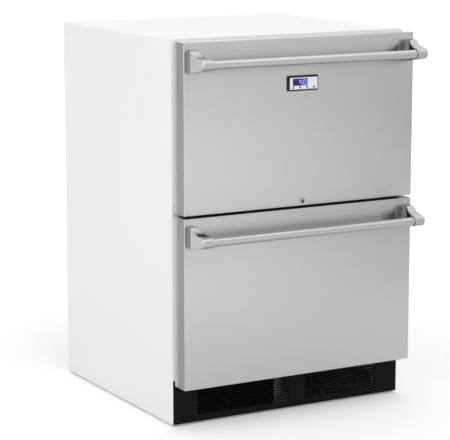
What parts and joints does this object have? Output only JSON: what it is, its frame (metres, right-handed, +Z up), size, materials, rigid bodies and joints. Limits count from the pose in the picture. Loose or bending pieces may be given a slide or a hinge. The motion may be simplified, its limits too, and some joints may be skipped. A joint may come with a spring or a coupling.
{
  "type": "laboratory refrigerator",
  "caption": "Under-counter refrigerator with stacked pull-out drawers, stainless fronts with bar handles, a small digital controller, a key lock and a black louvred toe grille.",
  "frame": {"origin": "on the floor, at the middle of the overall width and depth, handles included", "axes": "+X to the right as seen by someone facing the fronts, +Y to the rear, +Z up"},
  "size_m": [0.606, 0.685, 0.874],
  "materials": {
    "white_paint": "satin",
    "galvanised_steel": "satin",
    "black_paint": "satin",
    "black_plastic": "satin",
    "white_plastic": "satin",
    "foam": "matte",
    "grey_rubber": "matte",
    "black_rubber": "matte",
    "aluminium": "satin",
    "copper": "satin",
    "stainless_steel": "satin",
    "handle_steel": "satin",
    "zinc_steel": "satin",
    "bin_enamel": "satin",
    "panel_white": "gloss",
    "display_glass": "gloss",
    "button_grey": "satin",
    "lock_chrome": "polished"
  },
  "bodies": {
    "cabinet": {"outer_wrapper": "white_paint", "front_sill": "white_paint", "rear_panel": "galvanised_steel", "rear_cover": "galvanised_steel", "cord_gland": "black_plastic", "inner_liner": "white_plastic", "insulation_foam": "foam", "mullion_plate": "black_paint", "mullion_body": "black_plastic", "base_pan": "galvanised_steel", "toe_grille": "black_paint", "compressor": "black_paint", "compressor_grommets": "black_rubber", "condenser": "aluminium", "condenser_fan_motor": "galvanised_steel", "refrigerant_lines": "copper", "control_module": "black_plastic", "drain_pan": "black_plastic", "drain_tube": "black_plastic", "evaporator": "aluminium", "duct_cover": "white_plastic", "evaporator_fan_motor": "galvanised_steel", "upper_cabinet_rails": "zinc_steel", "lower_cabinet_rails": "zinc_steel"},
    "upper_drawer": {"upper_front_skin": "stainless_steel", "upper_front_core": "foam", "upper_inner_panel": "white_plastic", "upper_gasket": "grey_rubber", "upper_handle_bar": "handle_steel", "upper_handle_posts": "handle_steel", "upper_bin": "bin_enamel", "upper_drawer_rails": "zinc_steel", "controller_bezel": "black_plastic", "controller_face": "panel_white", "display_window": "display_glass", "lock_housing": "lock_chrome"},
    "lower_drawer": {"lower_front_skin": "stainless_steel", "lower_front_core": "foam", "lower_inner_panel": "white_plastic", "lower_gasket": "grey_rubber", "lower_handle_bar": "handle_steel", "lower_handle_posts": "handle_steel", "lower_bin": "bin_enamel", "lower_drawer_rails": "zinc_steel"},
    "upper_slide_middle": {"upper_middle_rails": "zinc_steel"},
    "lower_slide_middle": {"lower_middle_rails": "zinc_steel"},
    "lock": {"lock_plug": "lock_chrome"},
    "condenser_fan": {"condenser_fan_impeller": "black_plastic"},
    "evaporator_fan": {"evaporator_fan_impeller": "white_plastic"},
    "set_button": {"set_button": "button_grey"},
    "down_button": {"down_button": "button_grey"},
    "up_button": {"up_button": "button_grey"},
    "power_button": {"power_button": "button_grey"},
    "front_left_leg": {"front_left_leg": "zinc_steel"},
    "front_right_leg": {"front_right_leg": "zinc_steel"},
    "rear_left_leg": {"rear_left_leg": "zinc_steel"},
    "rear_right_leg": {"rear_right_leg": "zinc_steel"}
  },
  "joints": [
    {"name": "upper_drawer_slide", "type": "slide", "parent": "cabinet", "child": "upper_drawer", "axis": [0, -1, 0], "range_m": [0, 0.4]},
    {"name": "upper_middle_slide", "type": "slide", "parent": "cabinet", "child": "upper_slide_middle", "axis": [0, -1, 0], "range_m": [0, 0.2]},
    {"name": "lower_drawer_slide", "type": "slide", "parent": "cabinet", "child": "lower_drawer", "axis": [0, -1, 0], "range_m": [0, 0.31]},
    {"name": "lower_middle_slide", "type": "slide", "parent": "cabinet", "child": "lower_slide_middle", "axis": [0, -1, 0], "range_m": [0, 0.155]},
    {"name": "lock_turn", "type": "hinge", "parent": "upper_drawer", "child": "lock", "pos_m": [0.002, -0.27, 0.5], "axis": [0, 1, 0], "range_deg": [0, 90]},
    {"name": "condenser_fan_spin", "type": "hinge", "parent": "cabinet", "child": "condenser_fan", "pos_m": [-0.111, -0.1555, 0.0575], "axis": [0, 1, 0], "continuous": true},
    {"name": "evaporator_fan_spin", "type": "hinge", "parent": "cabinet", "child": "evaporator_fan", "pos_m": [0, 0.2525, 0.47], "axis": [0, 1, 0], "continuous": true},
    {"name": "set_button_press", "type": "slide", "parent": "upper_drawer", "child": "set_button", "axis": [0, 1, 0], "range_m": [0, 0.0008], "stiffness_N_per_m": 1500},
    {"name": "down_button_press", "type": "slide", "parent": "upper_drawer", "child": "down_button", "axis": [0, 1, 0], "range_m": [0, 0.0008], "stiffness_N_per_m": 1500},
    {"name": "up_button_press", "type": "slide", "parent": "upper_drawer", "child": "up_button", "axis": [0, 1, 0], "range_m": [0, 0.0008], "stiffness_N_per_m": 1500},
    {"name": "power_button_press", "type": "slide", "parent": "upper_drawer", "child": "power_button", "axis": [0, 1, 0], "range_m": [0, 0.0008], "stiffness_N_per_m": 1500},
    {"name": "front_left_leg_screw", "type": "slide", "parent": "cabinet", "child": "front_left_leg", "axis": [0, 0, -1], "range_m": [0, 0.025]},
    {"name": "front_right_leg_screw", "type": "slide", "parent": "cabinet", "child": "front_right_leg", "axis": [0, 0, -1], "range_m": [0, 0.025]},
    {"name": "rear_left_leg_screw", "type": "slide", "parent": "cabinet", "child": "rear_left_leg", "axis": [0, 0, -1], "range_m": [0, 0.025]},
    {"name": "rear_right_leg_screw", "type": "slide", "parent": "cabinet", "child": "rear_right_leg", "axis": [0, 0, -1], "range_m": [0, 0.025]}
  ],
  "couplings": [
    {"joint": "upper_middle_slide", "follows": "upper_drawer_slide", "ratio": 0.5},
    {"joint": "lower_middle_slide", "follows": "lower_drawer_slide", "ratio": 0.5}
  ]
}
